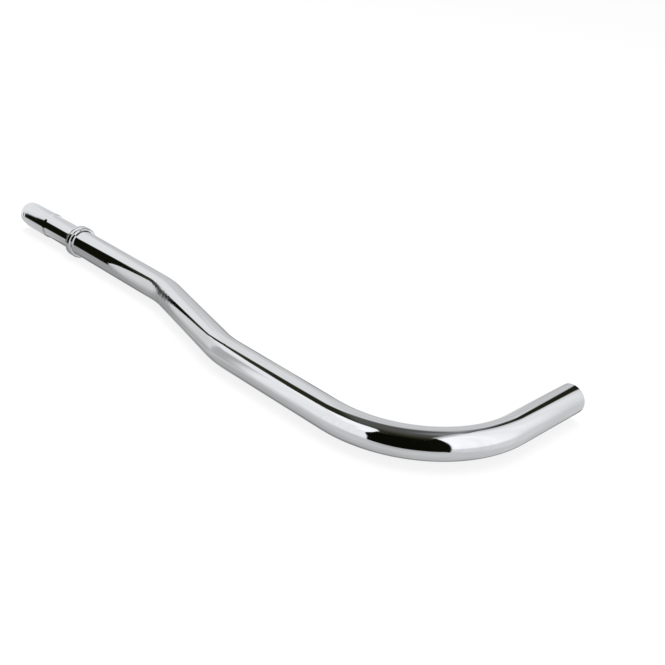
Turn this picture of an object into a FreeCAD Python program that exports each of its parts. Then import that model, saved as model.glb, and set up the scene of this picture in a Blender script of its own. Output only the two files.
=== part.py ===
import FreeCAD, Part
import math
import os

# A bent flush pipe: one length of plated brass tube that lies flat on a surface.
# It runs along +X from its inlet end to the elbow, and its outlet points along +Y.
# All sizes are in millimetres and all angles in degrees.

# The tube
tube_diameter = 28.0
wall_thickness = 1.0
bend_radius = 107.0
rim_bevel = 0.3

# The inlet end, drawn in a little towards its mouth so that it enters a seal easily
inlet_length = 48.3
lead_in_length = 10.2
lead_in_drop = 1.3
lead_in_blend = 14.0

# The neck behind the inlet end, drawn down to a smaller size
neck_length = 48.6
neck_drop = 1.0
step_length = 3.4
step_blend = 3.0

# The bead at the end of the neck: a narrow rear ridge, a fine groove and a broad front ridge
bead_height = 3.25
rear_ridge_width = 3.1
rear_round = 1.0
front_ridge_width = 5.1
front_round = 1.6
flank_lean = 0.3
groove_width = 1.3
groove_depth = 0.5
groove_round = 0.4
crest_round = 0.8
base_round = 0.4

# The bent run after the bead
upper_length = 136.4
crank_angle = 14.0
crank_offset = 32.0
lower_length = 124.0
elbow_angle = 90.0
outlet_length = 85.0

# Radii that follow from these, outside and inside the wall
tube_radius = tube_diameter / 2
mouth_radius = tube_radius - lead_in_drop
neck_radius = tube_radius - neck_drop
bead_radius = tube_radius + bead_height
tube_bore = tube_radius - wall_thickness
mouth_bore = mouth_radius - wall_thickness
neck_bore = neck_radius - wall_thickness
bead_bore = bead_radius - groove_depth - wall_thickness

# Places along the inlet's axis, from its mouth
neck_start = inlet_length + step_length
bead_start = neck_start + neck_length
groove_place = bead_start + rear_ridge_width
rear_crest = groove_place - groove_width / 2
front_crest = groove_place + groove_width / 2
flank_top = groove_place + front_ridge_width
bead_end = flank_top + flank_lean
formed_length = bead_end + 2 * base_round

# The crank's slanting run makes up what its two bends leave of the offset
crank_turn = math.radians(crank_angle)
crank_run = (crank_offset - 2 * bend_radius * (1 - math.cos(crank_turn))) / math.sin(crank_turn)

# The route after the formed end: straight runs, and bends that turn left where positive
route = [
    ("run", upper_length - 2 * base_round),
    ("bend", -crank_angle),
    ("run", crank_run),
    ("bend", crank_angle),
    ("run", lower_length),
    ("bend", elbow_angle),
    ("run", outlet_length),
]


def rounded_outline(corners):
    """A closed wire through corners (place, radius, rounding), each rounded by its own arc."""
    points = [FreeCAD.Vector(place, 0, radius) for place, radius, rounding in corners]
    edges = []
    stretches = []
    for index, corner in enumerate(points):
        rounding = corners[index][2]
        if rounding == 0:
            stretches.append((corner, corner))
            continue
        back = (points[index - 1] - corner).normalize()
        ahead = (points[(index + 1) % len(points)] - corner).normalize()
        inward = (back + ahead).normalize()
        half_angle = back.getAngle(ahead) / 2
        setback = rounding / math.tan(half_angle)
        start = corner + back * setback
        middle = corner + inward * (rounding / math.sin(half_angle) - rounding)
        end = corner + ahead * setback
        edges.append(Part.Arc(start, middle, end).toShape())
        stretches.append((start, end))
    for index, (start, end) in enumerate(stretches):
        edges.append(Part.LineSegment(stretches[index - 1][1], start).toShape())
    return Part.Wire(Part.__sortEdges__(edges))


def formed_end():
    """The inlet end, step, neck and bead, turned about the inlet's axis."""
    outside = [
        (0, mouth_radius - rim_bevel, 0),
        (rim_bevel, mouth_radius, 0),
        (lead_in_length, tube_radius, lead_in_blend),
        (inlet_length, tube_radius, step_blend),
        (neck_start, neck_radius, step_blend),
        (bead_start, neck_radius, base_round),
        (bead_start, bead_radius, rear_round),
        (rear_crest, bead_radius, crest_round),
        (groove_place, bead_radius - groove_depth, groove_round),
        (front_crest, bead_radius, crest_round),
        (flank_top, bead_radius, front_round),
        (bead_end, tube_radius, base_round),
    ]
    inside = [
        (formed_length, tube_radius, 0),
        (formed_length, tube_bore, 0),
        (bead_end - wall_thickness, tube_bore, 0),
        (flank_top - wall_thickness, bead_bore, 0),
        (bead_start + wall_thickness, bead_bore, 0),
        (bead_start + wall_thickness, neck_bore, 0),
        (neck_start, neck_bore, 0),
        (inlet_length, tube_bore, 0),
        (lead_in_length, tube_bore, 0),
        (rim_bevel, mouth_bore, 0),
        (0, mouth_bore + rim_bevel, 0),
    ]
    section = Part.Face(rounded_outline(outside + inside))
    return section.revolve(FreeCAD.Vector(0, 0, 0), FreeCAD.Vector(1, 0, 0), 360)


def turned(vector, angle):
    """The vector turned about +Z by an angle in degrees."""
    return FreeCAD.Rotation(FreeCAD.Vector(0, 0, 1), angle).multVec(vector)


def centre_line():
    """The wire of straight runs and tangent arcs, with its end point and end direction."""
    point = FreeCAD.Vector(formed_length, 0, 0)
    heading = FreeCAD.Vector(1, 0, 0)
    edges = []
    for kind, amount in route:
        if kind == "run":
            end = point + heading * amount
            edges.append(Part.LineSegment(point, end).toShape())
        else:
            side = math.copysign(90, amount)
            centre = point + turned(heading, side) * bend_radius
            middle = centre + turned(point - centre, amount / 2)
            end = centre + turned(point - centre, amount)
            edges.append(Part.Arc(point, middle, end).toShape())
            heading = turned(heading, amount)
        point = end
    return Part.Wire(edges), point, heading


def bent_tube():
    """The plain tube along the centre line, with the rim of its outlet mouth bevelled."""
    line, mouth, heading = centre_line()
    start = FreeCAD.Vector(formed_length, 0, 0)
    solids = []
    for radius in (tube_radius, tube_bore):
        circle = Part.makeCircle(radius, start, FreeCAD.Vector(1, 0, 0))
        solids.append(line.makePipeShell([Part.Wire(circle)], True, False))
    tube = solids[0].cut(solids[1])
    rim = [edge for edge in tube.Edges if abs((edge.CenterOfMass - mouth).dot(heading)) < rim_bevel / 2]
    return tube.makeChamfer(rim_bevel, rim)


def flush_pipe():
    """The whole pipe, its footprint centred on the origin and its bead resting on z = 0."""
    pipe = formed_end().fuse(bent_tube()).removeSplitter()
    box = pipe.optimalBoundingBox(False, False)
    pipe.translate(FreeCAD.Vector(-box.Center.x, -box.Center.y, -box.ZMin))
    return pipe.Solids[0]


os.makedirs("parts", exist_ok=True)
flush_pipe().exportStep("parts/flush_pipe.step")
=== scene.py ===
import math
from collections import namedtuple

import bpy
import numpy as np
from mathutils import Matrix, Vector


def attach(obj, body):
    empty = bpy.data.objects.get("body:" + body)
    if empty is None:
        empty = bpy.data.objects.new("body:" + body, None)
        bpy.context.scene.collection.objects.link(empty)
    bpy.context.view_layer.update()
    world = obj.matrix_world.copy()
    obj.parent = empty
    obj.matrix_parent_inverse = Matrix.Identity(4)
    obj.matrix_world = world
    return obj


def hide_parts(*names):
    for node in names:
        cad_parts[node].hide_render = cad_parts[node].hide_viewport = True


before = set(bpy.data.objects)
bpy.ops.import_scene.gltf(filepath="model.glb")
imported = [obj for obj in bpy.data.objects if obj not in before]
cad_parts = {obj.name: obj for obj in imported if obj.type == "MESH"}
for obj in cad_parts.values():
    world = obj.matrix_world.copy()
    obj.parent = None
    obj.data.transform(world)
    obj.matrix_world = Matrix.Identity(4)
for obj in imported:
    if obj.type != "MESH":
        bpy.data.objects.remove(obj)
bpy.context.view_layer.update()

# A bent flush pipe of chromed tube, lying on a pale floor inside a light tent.
# Sizes are in millimetres and angles in degrees; metre() turns a length into Blender's unit.


def metre(length):
    """A length in millimetres as metres."""
    return length * 0.001


# Sizes of the pipe

# The tube
tube_diameter = 28.0
wall_thickness = 1.0
bend_radius = 107.0
rim_round = 0.4

# The inlet end, drawn in a little towards its mouth, with a narrow straight land on the way
inlet_length = 48.3
lead_in_length = 10.2
lead_in_drop = 1.3
lead_in_blend = 14.0
land_place = 5.9
land_width = 2.2
land_blend = 2.0

# The neck behind the inlet end
neck_length = 48.6
neck_drop = 1.0
step_length = 3.4
step_blend = 3.0

# The bead at the end of the neck: a narrow rear ridge, a fine groove and a broad front ridge
bead_height = 3.25
rear_ridge_width = 3.1
rear_round = 1.0
front_ridge_width = 5.1
front_round = 1.6
flank_lean = 0.3
groove_width = 1.3
groove_depth = 0.5
groove_round = 0.4
crest_round = 0.8
base_round = 0.4
hollow_round = 0.5

# The bent run after the bead
upper_length = 136.4
crank_angle = 14.0
crank_offset = 32.0
lower_length = 124.0
elbow_angle = 90.0
outlet_length = 85.0

# How finely the skin is divided
segments_around = 160
ring_spacing_bend = 2.0
ring_spacing_run = 9.0
ring_clearance = 1.0
finest_turn = 9.0
arc_steps = 60
seam_gap = 0.004

# Sizes that follow
tube_radius = tube_diameter / 2
mouth_radius = tube_radius - lead_in_drop
land_radius = mouth_radius + lead_in_drop * land_place / lead_in_length
neck_radius = tube_radius - neck_drop
bead_radius = tube_radius + bead_height
tube_bore = tube_radius - wall_thickness
mouth_bore = mouth_radius - wall_thickness
neck_bore = neck_radius - wall_thickness
bead_bore = bead_radius - groove_depth - wall_thickness
neck_start = inlet_length + step_length
bead_start = neck_start + neck_length
groove_place = bead_start + rear_ridge_width
rear_crest = groove_place - groove_width / 2
front_crest = groove_place + groove_width / 2
flank_top = groove_place + front_ridge_width
bead_end = flank_top + flank_lean
crank_turn = math.radians(crank_angle)
elbow_turn = math.radians(elbow_angle)
crank_run = (crank_offset - 2 * bend_radius * (1 - math.cos(crank_turn))) / math.sin(crank_turn)
upper_end = bead_end + upper_length

# The route after the bead: each stretch's length, and whether it is bent
route = [
    (upper_length, False),
    (bend_radius * crank_turn, True),
    (crank_run, False),
    (bend_radius * crank_turn, True),
    (lower_length, False),
    (bend_radius * elbow_turn, True),
    (outlet_length, False),
]
pipe_length = bead_end + sum(length for length, bent in route)

# Finish of the plating, with polishing haze and fine lines from drawing the tube
chrome_pale = (0.786, 0.804, 0.826, 1.0)
chrome_deep = (0.758, 0.776, 0.798, 1.0)
chrome_reflects = 0.79
chrome_roughness = (0.022, 0.055)
haze_scale = 28.0
draw_line_stretch = (60.0, 2600.0, 1.0)
draw_line_levels = (0.3, 0.8)
fine_relief_strength = 0.02
fine_relief_height = 0.02

# Bare metal down the bore, and painted shade in the bead's creases
bore_metal = (0.62, 0.60, 0.56, 1.0)
bore_roughness = (0.28, 0.42)
bore_dullness = 0.18
bore_grain_scale = 900.0
bore_grain_levels = (0.3, 0.7)
crease_painted_shade = (0.06, 0.057, 0.05, 1.0)

# Fine ripples across the tube, left by the bending tool round the first bend
ripple_offset = 28.0
ripple_place = upper_end + ripple_offset
ripple_reach = 44.0
ripple_height = 0.16
ripple_haze = 0.16
ripple_stretch = (210.0, 30.0, 1.0)


# The pipe's skin


def rounded(corners):
    """The closed outline (place, radius, crease, inside) through corners with a rounding each."""
    outline = []
    for index, (place, radius, rounding, crease, inside) in enumerate(corners):
        corner = Vector((place, radius))
        back = (Vector(corners[index - 1][:2]) - corner).normalized()
        ahead = (Vector(corners[(index + 1) % len(corners)][:2]) - corner).normalized()
        half_angle = back.angle(ahead) / 2
        centre = corner + (back + ahead).normalized() * (rounding / math.sin(half_angle))
        spoke = corner + back * (rounding / math.tan(half_angle)) - centre
        swing = math.copysign(math.pi - 2 * half_angle, back.x * ahead.y - back.y * ahead.x)
        steps = max(2, math.ceil(abs(swing) / math.radians(finest_turn)))
        for step in range(steps + 1):
            point = centre + Matrix.Rotation(-swing * step / steps, 2) @ spoke
            # Painted shade: the groove floor is darkened over its whole width, and the bead's feet most of
            # all in the middle
            depth = 1.0 if radius > tube_radius else math.sin(math.pi * step / steps)
            outline.append((point.x, point.y, crease * depth, inside))
    return outline


def ring_places():
    """Places along the centre line that get a ring: close in the bends and wide apart on the runs."""
    places = []
    start = bead_end
    for length, bent in route:
        count = math.ceil(length / (ring_spacing_bend if bent else ring_spacing_run))
        places += [start + length * step / count for step in range(count)]
        start += length
    return places


def section_corners():
    """The wall's corners (place, radius, rounding, crease, inside), along the outside and back inside."""
    outside = [
        (0, mouth_radius, rim_round, 0.0),
        (land_place, land_radius, land_blend, 0.0),
        (land_place + land_width, land_radius, land_blend, 0.0),
        (lead_in_length, tube_radius, land_blend, 0.0),
        (inlet_length, tube_radius, step_blend, 0.0),
        (neck_start, neck_radius, step_blend, 0.0),
        (bead_start, neck_radius, base_round, 1.0),
        (bead_start, bead_radius, rear_round, 0.0),
        (rear_crest, bead_radius, crest_round, 0.0),
        (groove_place, bead_radius - groove_depth, groove_round, 1.0),
        (front_crest, bead_radius, crest_round, 0.0),
        (flank_top, bead_radius, front_round, 0.0),
        (bead_end, tube_radius, base_round, 1.0),
        (pipe_length, tube_radius, rim_round, 0.0),
    ]
    bore = [
        (bead_end - wall_thickness, tube_bore, hollow_round),
        (flank_top - wall_thickness, bead_bore, hollow_round),
        (bead_start + wall_thickness, bead_bore, hollow_round),
        (bead_start + wall_thickness, neck_bore, hollow_round),
        (neck_start, neck_bore, step_blend),
        (inlet_length, tube_bore, step_blend),
        (lead_in_length, tube_bore, lead_in_blend),
    ]
    corners = [(*corner, 0.0) for corner in outside]
    corners.append((pipe_length, tube_bore, rim_round, 0.0, 0.0))
    corners += [(*corner, 0.0, 1.0) for corner in bore]
    corners.append((0, mouth_bore, rim_round, 0.0, 0.0))
    return corners


def section_outline():
    """The wall's closed section. Long stretches get every ring outside and every second one inside."""
    coarse = rounded(section_corners())
    places = ring_places()
    outline = []
    for index, point in enumerate(coarse):
        outline.append(point)
        following = coarse[(index + 1) % len(coarse)]
        low, high = sorted((point[0], following[0]))
        if high - low < ring_spacing_run:
            continue
        outward = following[0] > point[0]
        between = [place for place in places if low + ring_clearance < place < high - ring_clearance]
        for place in between if outward else reversed(between[::2]):
            share = (place - point[0]) / (following[0] - point[0])
            radius = point[1] + (following[1] - point[1]) * share
            outline.append((place, radius, 0.0, 0.0 if outward else 1.0))
    return outline


def section_points(outline):
    """The outline as loose points: the place along X, the radius along Z, and crease and inside marks."""
    places, radii, creases, insides = zip(*outline)
    mesh = bpy.data.meshes.new("pipe_section")
    mesh.from_pydata([(metre(place), 0, metre(radius)) for place, radius in zip(places, radii)], [], [])
    mesh.attributes.new("crease", "FLOAT", "POINT").data.foreach_set("value", creases)
    mesh.attributes.new("inside", "FLOAT", "POINT").data.foreach_set("value", insides)
    return bpy.data.objects.new("pipe_section", mesh)


def centre_line():
    """The runs of the centre line with sharp corners, in the pipe's place on the floor."""
    setback = bend_radius * math.tan(crank_turn / 2)
    slope = crank_run + 2 * setback
    crank_top = upper_end + setback
    crank_foot = crank_top + slope * math.cos(crank_turn)
    outlet_axis = crank_foot + setback + lower_length + bend_radius
    mouth = -crank_offset + bend_radius + outlet_length
    middle_x = (outlet_axis + tube_radius) / 2
    middle_y = (mouth - crank_offset - tube_radius) / 2
    corners = [
        (0, 0),
        (crank_top, 0),
        (crank_foot, -crank_offset),
        (outlet_axis, -crank_offset),
        (outlet_axis, mouth),
    ]
    curve = bpy.data.curves.new("pipe_centre_line", "CURVE")
    curve.dimensions = "3D"
    spline = curve.splines.new("POLY")
    spline.points.add(len(corners) - 1)
    for point, (x, y) in zip(spline.points, corners):
        point.co = (metre(x - middle_x), metre(y - middle_y), metre(bead_radius), 1)
    return bpy.data.objects.new("pipe_centre_line", curve)


def node(tree, kind, settings=None, **inputs):
    """A new node with its settings and inputs; an input is a socket of another node or a value."""
    made = tree.nodes.new(kind)
    for name, value in (settings or {}).items():
        setattr(made, name, value)
    for name, value in inputs.items():
        key = int(name[1:]) if name[1:].isdigit() else name.replace("_", " ")
        if isinstance(value, bpy.types.NodeSocket):
            tree.links.new(value, made.inputs[key])
        else:
            made.inputs[key].default_value = value
    return made


def maths(tree, operation, *values):
    """The result socket of a Math node."""
    inputs = {f"_{index}": value for index, value in enumerate(values)}
    return node(tree, "ShaderNodeMath", {"operation": operation}, **inputs).outputs[0]


def vectors(tree, operation, first, second):
    """The result socket of a Vector Math node."""
    inputs = {"_0": first, "Scale" if operation == "SCALE" else "_1": second}
    return node(tree, "ShaderNodeVectorMath", {"operation": operation}, **inputs).outputs[0]


def bent_tube_tree():
    """Nodes that turn the section round the bent centre line into a closed skin."""
    tree = bpy.data.node_groups.new("bent_tube", "GeometryNodeTree")
    socket = tree.interface.new_socket
    socket("Section", in_out="INPUT", socket_type="NodeSocketGeometry")
    socket("Centre line", in_out="INPUT", socket_type="NodeSocketObject")
    socket("Bend radius", in_out="INPUT", socket_type="NodeSocketFloat")
    socket("Arc steps", in_out="INPUT", socket_type="NodeSocketInt")
    socket("Outline points", in_out="INPUT", socket_type="NodeSocketInt")
    socket("Segments around", in_out="INPUT", socket_type="NodeSocketInt")
    socket("Finish", in_out="INPUT", socket_type="NodeSocketMaterial")
    socket("Pipe", in_out="OUTPUT", socket_type="NodeSocketGeometry")
    given = tree.nodes.new("NodeGroupInput").outputs
    result = tree.nodes.new("NodeGroupOutput").inputs

    runs = node(tree, "GeometryNodeObjectInfo", Object=given["Centre line"]).outputs["Geometry"]
    line = node(
        tree,
        "GeometryNodeFilletCurve",
        {"mode": "POLY"},
        Curve=runs,
        Count=given["Arc steps"],
        Radius=given["Bend radius"],
    ).outputs["Curve"]

    # A flat sheet of one cell per outline point and segment is rolled up into the skin
    columns = maths(tree, "ADD", given["Outline points"], 1.0)
    rows = maths(tree, "ADD", given["Segments around"], 1.0)
    sheet = node(
        tree,
        "GeometryNodeMeshGrid",
        Size_X=1.0,
        Size_Y=1.0,
        Vertices_X=columns,
        Vertices_Y=rows,
    ).outputs["Mesh"]
    position = node(tree, "GeometryNodeInputPosition").outputs[0]
    flat = node(tree, "ShaderNodeSeparateXYZ", _0=position).outputs
    along = maths(tree, "MULTIPLY", maths(tree, "ADD", flat["X"], 0.5), given["Outline points"])
    index = maths(tree, "MODULO", maths(tree, "ROUND", along), given["Outline points"])
    angle = maths(tree, "MULTIPLY", maths(tree, "ADD", flat["Y"], 0.5), math.tau)

    def from_section(data_type, value):
        return node(
            tree,
            "GeometryNodeSampleIndex",
            {"data_type": data_type},
            Geometry=given["Section"],
            Index=index,
            Value=value,
        ).outputs["Value"]

    spot = from_section("FLOAT_VECTOR", position)
    marks = {}
    for name in ("crease", "inside"):
        mark = node(tree, "GeometryNodeInputNamedAttribute", {"data_type": "FLOAT"}, Name=name)
        marks[name] = from_section("FLOAT", mark.outputs["Attribute"])
    parts = node(tree, "ShaderNodeSeparateXYZ", _0=spot).outputs
    place, radius = parts["X"], parts["Z"]
    ring = node(tree, "GeometryNodeSampleCurve", {"mode": "LENGTH"}, Curves=line, Length=place).outputs
    level = vectors(tree, "CROSS_PRODUCT", (0.0, 0.0, 1.0), ring["Tangent"])
    sideways = node(tree, "ShaderNodeVectorMath", {"operation": "NORMALIZE"}, _0=level).outputs[0]
    reach = vectors(tree, "SCALE", sideways, maths(tree, "MULTIPLY", radius, maths(tree, "COSINE", angle)))
    rise = node(tree, "ShaderNodeCombineXYZ", Z=maths(tree, "MULTIPLY", radius, maths(tree, "SINE", angle)))
    skin_point = vectors(tree, "ADD", vectors(tree, "ADD", ring["Position"], reach), rise.outputs[0])

    # The unrolled skin's own coordinates, in metres along and around the tube
    around = maths(tree, "MULTIPLY", angle, metre(tube_radius))
    unrolled = node(tree, "ShaderNodeCombineXYZ", X=place, Y=around).outputs[0]
    sheet = node(
        tree,
        "GeometryNodeStoreNamedAttribute",
        {"data_type": "FLOAT2", "domain": "CORNER"},
        Geometry=sheet,
        Name="unrolled",
        Value=unrolled,
    ).outputs[0]
    for name, value in marks.items():
        sheet = node(
            tree,
            "GeometryNodeStoreNamedAttribute",
            {"data_type": "FLOAT", "domain": "POINT"},
            Geometry=sheet,
            Name=name,
            Value=value,
        ).outputs[0]
    skin = node(tree, "GeometryNodeSetPosition", Geometry=sheet, Position=skin_point).outputs[0]

    # The seams are closed, and the faces, which the rolling leaves inwards, are turned outwards
    skin = node(tree, "GeometryNodeMergeByDistance", Geometry=skin, Distance=metre(seam_gap)).outputs[0]
    skin = node(tree, "GeometryNodeFlipFaces", Mesh=skin).outputs[0]
    skin = node(tree, "GeometryNodeSetShadeSmooth", Geometry=skin).outputs[0]
    skin = node(tree, "GeometryNodeRealizeInstances", Geometry=skin).outputs[0]
    skin = node(tree, "GeometryNodeSetMaterial", Geometry=skin, Material=given["Finish"]).outputs[0]
    tree.links.new(skin, result["Pipe"])
    return tree


def bent_pipe(finish):
    """The whole pipe as one plain mesh in its place."""
    outline = section_outline()
    section = section_points(outline)
    line = centre_line()
    for helper in (section, line):
        bpy.context.scene.collection.objects.link(helper)
    tree = bent_tube_tree()
    values = {
        "Centre line": line,
        "Bend radius": metre(bend_radius),
        "Arc steps": arc_steps,
        "Outline points": len(outline),
        "Segments around": segments_around,
        "Finish": finish,
    }
    modifier = section.modifiers.new("bent_tube", "NODES")
    modifier.node_group = tree
    for item in tree.interface.items_tree:
        if item.name in values:
            modifier[item.identifier] = values[item.name]
    evaluated = section.evaluated_get(bpy.context.evaluated_depsgraph_get())
    mesh = bpy.data.meshes.new_from_object(evaluated)
    section.modifiers.remove(modifier)
    for helper in (section, line):
        bpy.data.objects.remove(helper)
    mesh.name = "bent_flush_pipe"
    pipe = bpy.data.objects.new("bent_flush_pipe", mesh)
    bpy.context.scene.collection.objects.link(pipe)
    return pipe


# Finishes


def new_material(name):
    """An empty node material: its tree, its output node and the material itself."""
    material = bpy.data.materials.new(name)
    material.use_nodes = True
    material.node_tree.nodes.clear()
    return material.node_tree, material.node_tree.nodes.new("ShaderNodeOutputMaterial"), material


def noise(tree, vector, scale, detail, roughness=0.5):
    """The brightness socket of a Noise Texture node."""
    inputs = {"Vector": vector, "Scale": scale, "Detail": detail, "Roughness": roughness}
    return node(tree, "ShaderNodeTexNoise", **inputs).outputs["Fac"]


def stretched(tree, vector, stretch):
    """Coordinates scaled by a factor along each axis."""
    return node(tree, "ShaderNodeMapping", Vector=vector, Scale=stretch).outputs[0]


def spread(tree, value, given, wanted):
    """A value that runs between two given levels, drawn out to run between two wanted ones."""
    return node(
        tree,
        "ShaderNodeMapRange",
        Value=value,
        From_Min=given[0],
        From_Max=given[1],
        To_Min=wanted[0],
        To_Max=wanted[1],
    ).outputs[0]


def mixed_colour(tree, share, first, second):
    """A colour that goes from the first to the second as the share goes from 0 to 1."""
    return node(tree, "ShaderNodeMix", {"data_type": "RGBA"}, Factor=share, _6=first, _7=second).outputs[2]


def mixed_value(tree, share, first, second):
    """A value that goes from the first to the second as the share goes from 0 to 1."""
    return node(tree, "ShaderNodeMix", {"data_type": "FLOAT"}, Factor=share, _2=first, _3=second).outputs[0]


def chrome_finish():
    """Bright chrome plating with faint draw lines and polishing haze, dull and bare down the bore."""
    tree, output, material = new_material("chrome_plating")
    solid = node(tree, "ShaderNodeTexCoord").outputs["Object"]
    unrolled = node(tree, "ShaderNodeUVMap", {"uv_map": "unrolled"}).outputs[0]
    inside = node(tree, "ShaderNodeAttribute", {"attribute_name": "inside"}).outputs["Fac"]
    crease = node(tree, "ShaderNodeAttribute", {"attribute_name": "crease"}).outputs["Fac"]

    haze = noise(tree, solid, haze_scale, detail=4.0, roughness=0.6)
    lines = noise(tree, stretched(tree, unrolled, draw_line_stretch), 1.0, detail=3.0, roughness=0.7)
    grain = noise(tree, solid, bore_grain_scale, detail=2.0)
    plating = mixed_colour(tree, haze, chrome_deep, chrome_pale)
    # Painted shade: the bead's feet and groove floor are darkened towards a near-black colour
    plating = mixed_colour(tree, crease, plating, crease_painted_shade)
    colour = mixed_colour(tree, inside, plating, bore_metal)
    polish = spread(tree, lines, draw_line_levels, chrome_roughness)
    bare = spread(tree, grain, bore_grain_levels, bore_roughness)
    roughness = mixed_value(tree, inside, polish, bare)
    relief = node(
        tree,
        "ShaderNodeBump",
        Height=mixed_value(tree, inside, lines, grain),
        Strength=fine_relief_strength,
        Distance=metre(fine_relief_height),
    ).outputs[0]

    # The ripples fade out to both sides of the first bend
    along = node(tree, "ShaderNodeSeparateXYZ", _0=unrolled).outputs["X"]
    off_bend = maths(tree, "ABSOLUTE", maths(tree, "SUBTRACT", along, metre(ripple_place)))
    bent = node(
        tree,
        "ShaderNodeMapRange",
        {"interpolation_type": "SMOOTHSTEP"},
        Value=off_bend,
        From_Min=metre(ripple_reach),
        From_Max=0.0,
    ).outputs[0]
    ripples = noise(tree, stretched(tree, unrolled, ripple_stretch), 1.0, detail=1.0)
    relief = node(
        tree,
        "ShaderNodeBump",
        Height=maths(tree, "MULTIPLY", ripples, bent),
        Strength=1.0,
        Distance=metre(ripple_height),
        Normal=relief,
    ).outputs[0]
    shader = node(
        tree,
        "ShaderNodeBsdfPrincipled",
        Base_Color=colour,
        Metallic=maths(tree, "MULTIPLY_ADD", inside, -bore_dullness, 1.0),
        Roughness=maths(tree, "MULTIPLY_ADD", bent, ripple_haze, roughness),
        Normal=relief,
    )
    tree.links.new(shader.outputs[0], output.inputs["Surface"])
    return material


# The light tent that the chrome mirrors

# The tent has its own axes, turned against the pipe's: across, then towards the back, then up.
tent_turn = 30.4
tent_pivot = (6.6, -57.0, 17.25)
tent_left, tent_right = -330.0, 398.0
tent_front, tent_back = -504.0, 585.0
tent_bottom, tent_top = -89.0, 445.0
tent_width = (tent_left, tent_right)
tent_depth = (tent_front, tent_back)
tent_height = (tent_bottom, tent_top)
near_sheet = -259.0
beyond = 900.0
ribbon_half_width = 10
cloth_cell = 4.0

# The cloth is yellowish where hardly any light reaches it, and it hangs in shallow folds
unlit_cloth = (1.0, 0.97, 0.50, 1.0)
lit_cloth = (1.0, 1.0, 1.0, 1.0)
fully_lit_glow = 0.12
fold_stretch = (30.0, 30.0, 3.0)
fold_levels = (0.3, 0.7)
fold_shade = (0.95, 1.05)

# A sheet of cloth: the axis that it is square to and its place there, its reach along the other two axes,
# how bright the chrome shows it on a scale of 0 to 255, its free edge if that isn't straight,
# and its patches.
Sheet = namedtuple("Sheet", "axis place across up shows edge patches")

# A patch: its outline on the sheet, how soft its edge is, and how bright it shows.
Patch = namedtuple("Patch", "outline soft shows")


def oblong(left, right, low, high):
    """The four corners of an upright patch."""
    return [(left, low), (right, low), (right, high), (left, high)]


def ribbon(line):
    """The outline of a narrow strip along a line."""
    below = [(across, up - ribbon_half_width) for across, up in line]
    above = [(across, up + ribbon_half_width) for across, up in reversed(line)]
    return below + above


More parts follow.
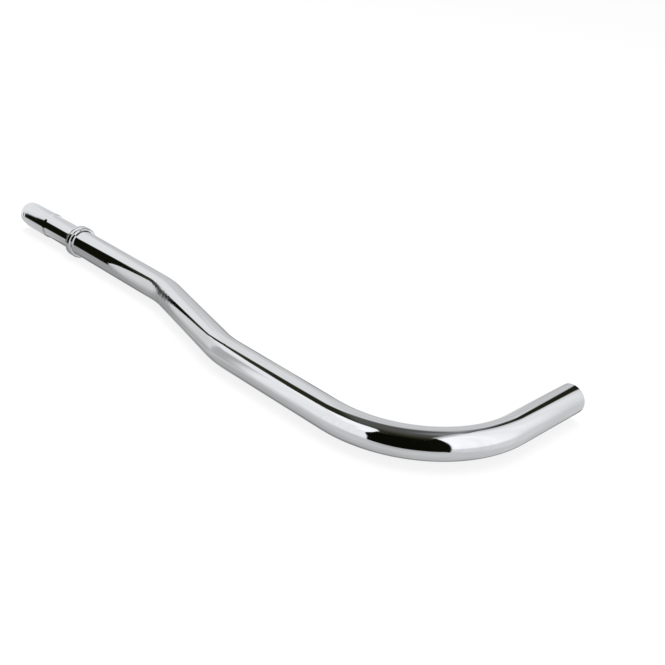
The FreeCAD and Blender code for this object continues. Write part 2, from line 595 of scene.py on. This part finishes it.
tent_sheets = [
    # The far sheet on the left, dark where it parts from the near one
    Sheet(0, tent_left, tent_depth, tent_height, 223, None, [
        Patch(oblong(400, beyond, -beyond, beyond), 150, 194),
        Patch(oblong(410, beyond, -20, 185), 60, 186),
        Patch(oblong(240, 420, 45, 130), 40, 200),
        Patch(oblong(285, 375, -beyond, 25), 30, 240),
        Patch(oblong(-beyond, 275, -beyond, -14), 9, 188),
        Patch(oblong(195, 275, -beyond, -35), 20, 172),
        Patch(
            [(-beyond, -22), (88, -22), (118, -42), (140, -70), (155, -beyond), (-beyond, -beyond)],
            24,
            150,
        ),
        Patch(
            [
                (-beyond, 140), (95, 140), (92, 160), (88, 180), (87, 205), (90, 235), (98, 300), (105, 380),
                (110, beyond), (-beyond, beyond),
            ],
            5,
            48,
        ),
        Patch(
            [
                (-beyond, -58), (44, -35), (98, -23), (152, -12), (152, 2), (145, 14), (137, 21), (130, 42),
                (119, 58), (110, 82), (100, 114), (94, 145), (-beyond, 145),
            ],
            5,
            15,
        ),
    ]),
    # The near sheet on the left, with one shaded fold and a cut corner at its top. It ends at its free edge,
    # so the far end of its reach only says how finely it is divided.
    Sheet(
        0,
        near_sheet,
        (tent_front, tent_right),
        tent_height,
        229,
        [
            (46, -89), (46, -10), (42, 20), (37, 50), (32, 75), (28, 100), (26, 115), (27, 140), (28, 165),
            (25, 187), (14, 208), (-6, 282), (-22, 298), (-81, 301), (-102, 310), (-147, 342), (-160, 385),
            (-166, 445),
        ],
        [
            Patch(oblong(-beyond, beyond, -beyond, -45), 45, 216),
            Patch(oblong(-110, beyond, -beyond, 170), 70, 206),
            Patch(oblong(-110, beyond, -beyond, -45), 60, 168),
            Patch(oblong(-194, -90, -beyond, 168), 27, 168),
            Patch(oblong(-270, -160, 275, 365), 40, 239),
            Patch(oblong(40, beyond, -beyond, -8), 10, 160),
        ],
    ),
    # The right-hand sheet, from the camera's opening to the gap before the backdrop
    Sheet(0, tent_right, tent_depth, tent_height, 243, None, [
        Patch(oblong(-50, beyond, -beyond, beyond), 110, 219),
        Patch(oblong(32, beyond, -beyond, beyond), 30, 196),
        Patch(oblong(-beyond, beyond, -beyond, 0), 14, 206),
        Patch(oblong(-60, beyond, -beyond, 0), 60, 192),
        Patch(oblong(-beyond, beyond, -beyond, -78), 40, 180),
        Patch(oblong(-beyond, beyond, 400, beyond), 50, 212),
        Patch(oblong(345, beyond, -beyond, beyond), 20, 168),
        Patch(oblong(-beyond, -180, 40, 400), 60, 250),
        Patch(
            [
                (54, -beyond), (54, 130), (68, 175), (92, 215), (118, 290), (134, 380), (150, beyond),
                (345, beyond), (345, -beyond),
            ],
            9,
            32,
        ),
        Patch(oblong(66, 190, -beyond, 66), 10, 208),
        Patch(oblong(-beyond, -311, -beyond, beyond), 8, 13),
    ]),
    # The front, with the opening for the camera
    Sheet(1, tent_front, tent_width, tent_height, 230, None, [
        Patch(oblong(-beyond, beyond, -beyond, -45), 40, 216),
        Patch(oblong(-80, 60, 265, beyond), 40, 251),
        Patch(
            [
                (40, -beyond), (41, 45), (30, 100), (8, 180), (12, 230), (20, 263), (36, 330), (42, beyond),
                (beyond, beyond), (beyond, -beyond),
            ],
            5,
            10,
        ),
    ]),
    # The backdrop, uneven where it turns into the table
    Sheet(1, tent_back, tent_width, tent_height, 192, None, [
        Patch(oblong(-beyond, 170, 320, beyond), 110, 204),
        Patch(oblong(-beyond, beyond, -beyond, 120), 60, 184),
        Patch(oblong(215, beyond, -beyond, 110), 50, 178),
        Patch(oblong(-beyond, -245, -beyond, -10), 55, 197),
        Patch(oblong(-185, 92, -beyond, 50), 42, 164),
        Patch(oblong(-74, 85, -beyond, 40), 32, 142),
        Patch(oblong(-26, 26, -beyond, 90), 24, 182),
        Patch(oblong(112, 195, -beyond, 35), 30, 209),
    ]),
    # The table under the pipe, with the pipe's soft shade on it
    Sheet(2, tent_bottom, tent_width, tent_depth, 190, None, [
        Patch(oblong(-beyond, -150, 250, beyond), 80, 207),
        Patch(oblong(-beyond, -110, -beyond, -170), 60, 203),
        Patch(oblong(-64, 112, 170, beyond), 55, 142),
        Patch([(125, 110), (260, 95), (300, 170), (beyond, 270), (beyond, beyond), (125, beyond)], 45, 232),
        Patch([(-beyond, -60), (-190, -20), (-120, 60), (-200, 160), (-beyond, 300)], 60, 150),
        Patch(oblong(-300, -180, -50, 40), 30, 168),
        Patch(
            [(-170, -130), (-100, -135), (200, -190), (305, -120), (295, -20), (60, 40), (-90, 60)],
            70,
            166,
        ),
        Patch(
            [(-430, 225), (-259, 138), (-160, 90), (-140, 128), (-190, 220), (-259, 290), (-430, 400)],
            34,
            120,
        ),
        Patch(
            [
                (0, -35), (41, -62), (150, -127), (215, -124), (290, -90), (345, -20), (430, 100), (430, 205),
                (350, 105), (285, 25), (195, -25), (110, -15), (40, 10),
            ],
            32,
            128,
        ),
        Patch(ribbon([(-430, 245), (-259, 151), (-181, 107), (-140, 82), (-104, 30)]), 30, 114),
        Patch(ribbon([(-96, 22), (-60, -10), (41, -58), (89, -86), (150, -108), (215, -88)]), 34, 117),
        Patch(oblong(140, beyond, -beyond, -310), 60, 172),
        Patch(
            [
                (40, -beyond), (42, -490), (148, -430), (229, -397), (304, -390), (380, -355), (beyond, -300),
                (beyond, -beyond),
            ],
            6,
            12,
        ),
    ]),
    # The roof: bright towards the back, dark over the front, with a corner of the near sheets
    Sheet(2, tent_top, tent_width, tent_depth, 80, None, [
        Patch(oblong(-beyond, -30, -240, 60), 60, 36),
        Patch(oblong(70, beyond, -beyond, -330), 190, 18),
        Patch([(240, -110), (beyond, -230), (beyond, 95), (315, 85)], 45, 120),
        Patch(oblong(362, beyond, -290, 20), 14, 188),
        Patch(
            [
                (-beyond, 90), (-330, 85), (-250, 52), (-190, 29), (-100, 27), (0, 37), (60, 47), (140, 66),
                (185, 90), (262, 152), (302, 205), (336, 285), (346, 370), (366, 455), (beyond, 680),
                (beyond, beyond), (-beyond, beyond),
            ],
            26,
            215,
        ),
        Patch(oblong(-10, 330, 130, beyond), 80, 194),
        Patch(ribbon([(40, 55), (150, 80), (262, 160), (335, 280)]), 60, 126),
        Patch(
            [
                (-beyond, -172), (-283, -169), (-218, -186), (-116, -226), (-32, -284), (45, -304),
                (80, -335), (82, -420), (45, -480), (20, -beyond), (-beyond, -beyond),
            ],
            10,
            244,
        ),
    ]),
]


def depth_inside(outline, across, up):
    """How far spots on a sheet lie inside an outline; below zero outside it."""
    inside = np.zeros(across.shape, bool)
    nearest = np.full(across.shape, np.inf)
    for index, (end_x, end_y) in enumerate(outline):
        start_x, start_y = outline[index - 1]
        run, rise = end_x - start_x, end_y - start_y
        share = np.clip(((across - start_x) * run + (up - start_y) * rise) / (run * run + rise * rise), 0, 1)
        nearest = np.minimum(nearest, np.hypot(across - start_x - share * run, up - start_y - share * rise))
        if rise:
            crosses = (start_y > up) != (end_y > up)
            inside ^= crosses & (across < start_x + (up - start_y) * run / rise)
    return np.where(inside, nearest, -nearest)


def soft_edge(depth, soft):
    """0 outside an edge and 1 inside it, with an even curve across its softness."""
    share = np.clip(0.5 + depth / (2 * soft), 0, 1)
    return share * share * (3 - 2 * share)


def glow_for(shows):
    """How strongly cloth must glow for the chrome to show it at a brightness of 0 to 255 on a screen."""
    level = shows / 255
    return np.where(level < 0.04045, level / 12.92, ((level + 0.055) / 1.055) ** 2.4) / chrome_reflects


def sheet_spots(sheet):
    """A grid of spots over a sheet: where they lie along its two axes, and how bright each one shows."""
    columns = math.ceil((sheet.across[1] - sheet.across[0]) / cloth_cell)
    rows = math.ceil((sheet.up[1] - sheet.up[0]) / cloth_cell)
    shares = np.linspace(0, 1, columns + 1)
    share, up = np.meshgrid(shares, np.linspace(*sheet.up, rows + 1), indexing="ij")
    left, right = sheet.across
    if sheet.edge:
        reaches, heights = zip(*sheet.edge)
        right = np.interp(up, heights, reaches)
    across = left + (right - left) * share
    shows = np.full(across.shape, float(sheet.shows))
    for patch in sheet.patches:
        shows += (patch.shows - shows) * soft_edge(depth_inside(patch.outline, across, up), patch.soft)
    return across, up, shows


def light_tent(finish):
    """The tent's sheets as one mesh, each point with its own glow."""
    points, faces, glows = [], [], []
    for sheet in tent_sheets:
        across, up, shows = sheet_spots(sheet)
        columns, rows = across.shape
        spots = [across, up]
        spots.insert(sheet.axis, np.full(across.shape, sheet.place))
        first = len(points)
        points += np.stack(spots, -1).reshape(-1, 3).tolist()
        glows += glow_for(shows).ravel().tolist()
        for column in range(columns - 1):
            for row in range(rows - 1):
                corner = first + column * rows + row
                faces.append((corner, corner + rows, corner + rows + 1, corner + 1))
    mesh = bpy.data.meshes.new("light_tent")
    mesh.from_pydata([[metre(value) for value in point] for point in points], [], faces)
    mesh.attributes.new("glow", "FLOAT", "POINT").data.foreach_set("value", glows)
    mesh.materials.append(finish)
    tent = bpy.data.objects.new("light_tent", mesh)
    turn = Matrix.Rotation(math.radians(tent_turn), 4, "Z")
    tent.matrix_world = Matrix.Translation([metre(value) for value in tent_pivot]) @ turn
    tent.visible_camera = False
    tent.visible_diffuse = False
    tent.visible_shadow = False
    bpy.context.scene.collection.objects.link(tent)
    return tent


def tent_cloth():
    """Lit cloth that glows as its mesh says, with faint hanging folds."""
    tree, output, material = new_material("tent_cloth")
    solid = node(tree, "ShaderNodeTexCoord").outputs["Object"]
    folds = noise(tree, stretched(tree, solid, fold_stretch), 1.0, detail=3.0)
    shade = spread(tree, folds, fold_levels, fold_shade)
    glow = node(tree, "ShaderNodeAttribute", {"attribute_name": "glow"}).outputs["Fac"]
    lit = spread(tree, glow, (0.0, fully_lit_glow), (0.0, 1.0))
    tint = mixed_colour(tree, lit, unlit_cloth, lit_cloth)
    shader = node(tree, "ShaderNodeEmission", Color=tint, Strength=maths(tree, "MULTIPLY", glow, shade))
    tree.links.new(shader.outputs[0], output.inputs["Surface"])
    material.cycles.emission_sampling = "NONE"
    return material


# Floor, light and camera

floor_width = 16000.0
floor_white = (0.90, 0.90, 0.90, 1.0)
floor_roughness = (0.75, 0.95)
floor_fibre_scale = 350.0
floor_glow_share = 0.80

sky_white = (1.0, 1.0, 1.0, 1.0)
sky_strength = 0.95
lamp_place = (-150.0, 250.0, 1500.0)
lamp_width = 1400.0
lamp_power = 20.0

camera_place = (669.9, -606.2, 439.8)
camera_turn = 42.56
camera_tilt = 63.506
camera_roll = 5.862
camera_lens = 54.12
camera_sensor = 36.0


def floor_finish():
    """White paper that is near white to the camera and keeps the pipe's soft shadow."""
    tree, output, material = new_material("white_floor")
    solid = node(tree, "ShaderNodeTexCoord").outputs["Object"]
    fibre = noise(tree, solid, floor_fibre_scale, detail=3.0)
    roughness = spread(tree, fibre, (0.0, 1.0), floor_roughness)
    paper = node(tree, "ShaderNodeBsdfPrincipled", Base_Color=floor_white, Roughness=roughness)
    paper.inputs["Specular IOR Level"].default_value = 0.0
    white = node(tree, "ShaderNodeEmission", Strength=1.0)
    camera_ray = node(tree, "ShaderNodeLightPath").outputs["Is Camera Ray"]
    share = maths(tree, "MULTIPLY", camera_ray, floor_glow_share)
    shader = node(tree, "ShaderNodeMixShader", _0=share, _1=paper.outputs[0], _2=white.outputs[0])
    tree.links.new(shader.outputs[0], output.inputs["Surface"])
    return material


def floor():
    """The pale floor that the pipe lies on. The chrome mirrors the tent's own table instead."""
    half = metre(floor_width) / 2
    corners = [(-half, -half, 0), (half, -half, 0), (half, half, 0), (-half, half, 0)]
    mesh = bpy.data.meshes.new("floor")
    mesh.from_pydata(corners, [], [(0, 1, 2, 3)])
    mesh.materials.append(floor_finish())
    sheet = bpy.data.objects.new("floor", mesh)
    sheet.visible_glossy = False
    bpy.context.scene.collection.objects.link(sheet)
    return sheet


def sky():
    """White behind everything for the camera, and an even soft light on the floor."""
    world = bpy.data.worlds.new("soft_sky")
    world.use_nodes = True
    tree = world.node_tree
    tree.nodes.clear()
    rays = node(tree, "ShaderNodeLightPath").outputs
    seen = maths(tree, "MAXIMUM", rays["Is Camera Ray"], rays["Is Transmission Ray"])
    strength = spread(tree, seen, (0.0, 1.0), (sky_strength, 1.0))
    light = node(tree, "ShaderNodeBackground", Color=sky_white, Strength=strength)
    output = tree.nodes.new("ShaderNodeOutputWorld")
    tree.links.new(light.outputs[0], output.inputs["Surface"])
    bpy.context.scene.world = world
    world.cycles_visibility.glossy = False


def overhead_lamp():
    """One broad soft lamp above the tent, for the shadow on the floor. The chrome doesn't mirror it."""
    lamp = bpy.data.lights.new("overhead_lamp", "AREA")
    lamp.size = metre(lamp_width)
    lamp.energy = lamp_power
    fitting = bpy.data.objects.new("overhead_lamp", lamp)
    fitting.location = [metre(value) for value in lamp_place]
    fitting.rotation_euler = (-Vector(fitting.location)).to_track_quat("-Z", "Y").to_euler()
    fitting.visible_camera = False
    fitting.visible_glossy = False
    bpy.context.scene.collection.objects.link(fitting)


def camera():
    """The camera at the photograph's place and angle."""
    lens = bpy.data.cameras.new("camera")
    lens.sensor_width = camera_sensor
    lens.lens = camera_lens
    lens.clip_start, lens.clip_end = 0.01, 100.0
    eye = bpy.data.objects.new("camera", lens)
    eye.matrix_world = (
        Matrix.Translation([metre(value) for value in camera_place])
        @ Matrix.Rotation(math.radians(camera_turn), 4, "Z")
        @ Matrix.Rotation(math.radians(camera_tilt), 4, "X")
        @ Matrix.Rotation(math.radians(camera_roll), 4, "Z")
    )
    bpy.context.scene.collection.objects.link(eye)
    bpy.context.scene.camera = eye


bpy.context.scene.view_settings.view_transform = "Standard"
pipe = bent_pipe(chrome_finish())
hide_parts("flush_pipe")
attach(pipe, "root")
floor()
light_tent(tent_cloth())
sky()
overhead_lamp()
camera()
